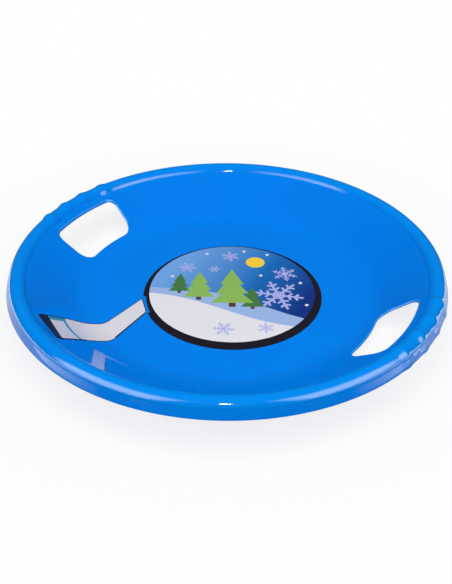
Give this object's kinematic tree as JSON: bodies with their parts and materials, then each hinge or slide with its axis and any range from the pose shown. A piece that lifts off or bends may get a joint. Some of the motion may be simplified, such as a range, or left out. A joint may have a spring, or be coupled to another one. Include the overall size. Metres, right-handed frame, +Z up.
{
  "type": "saucer sled",
  "caption": "Round moulded plastic saucer sled with a dished floor, raised rim, hand slots with finger ribs, a printed film on the floor and a label strip up the wall.",
  "frame": {"origin": "centre of the dish on the underside of its flat floor, where it stands on the snow", "axes": "+Z up out of the dish, +X through one hand slot, +Y along the diameter between the slots"},
  "size_m": [0.6038, 0.5991, 0.0687],
  "materials": {
    "shell_plastic": "glossy moulded blue plastic",
    "printed_film": "printed film with a black border, slight gloss",
    "label_film": "white film with a dark border, slight gloss"
  },
  "bodies": {
    "root": {"saucer_shell": "shell_plastic", "centre_sticker": "printed_film", "info_label": "label_film"}
  },
  "joints": []
}
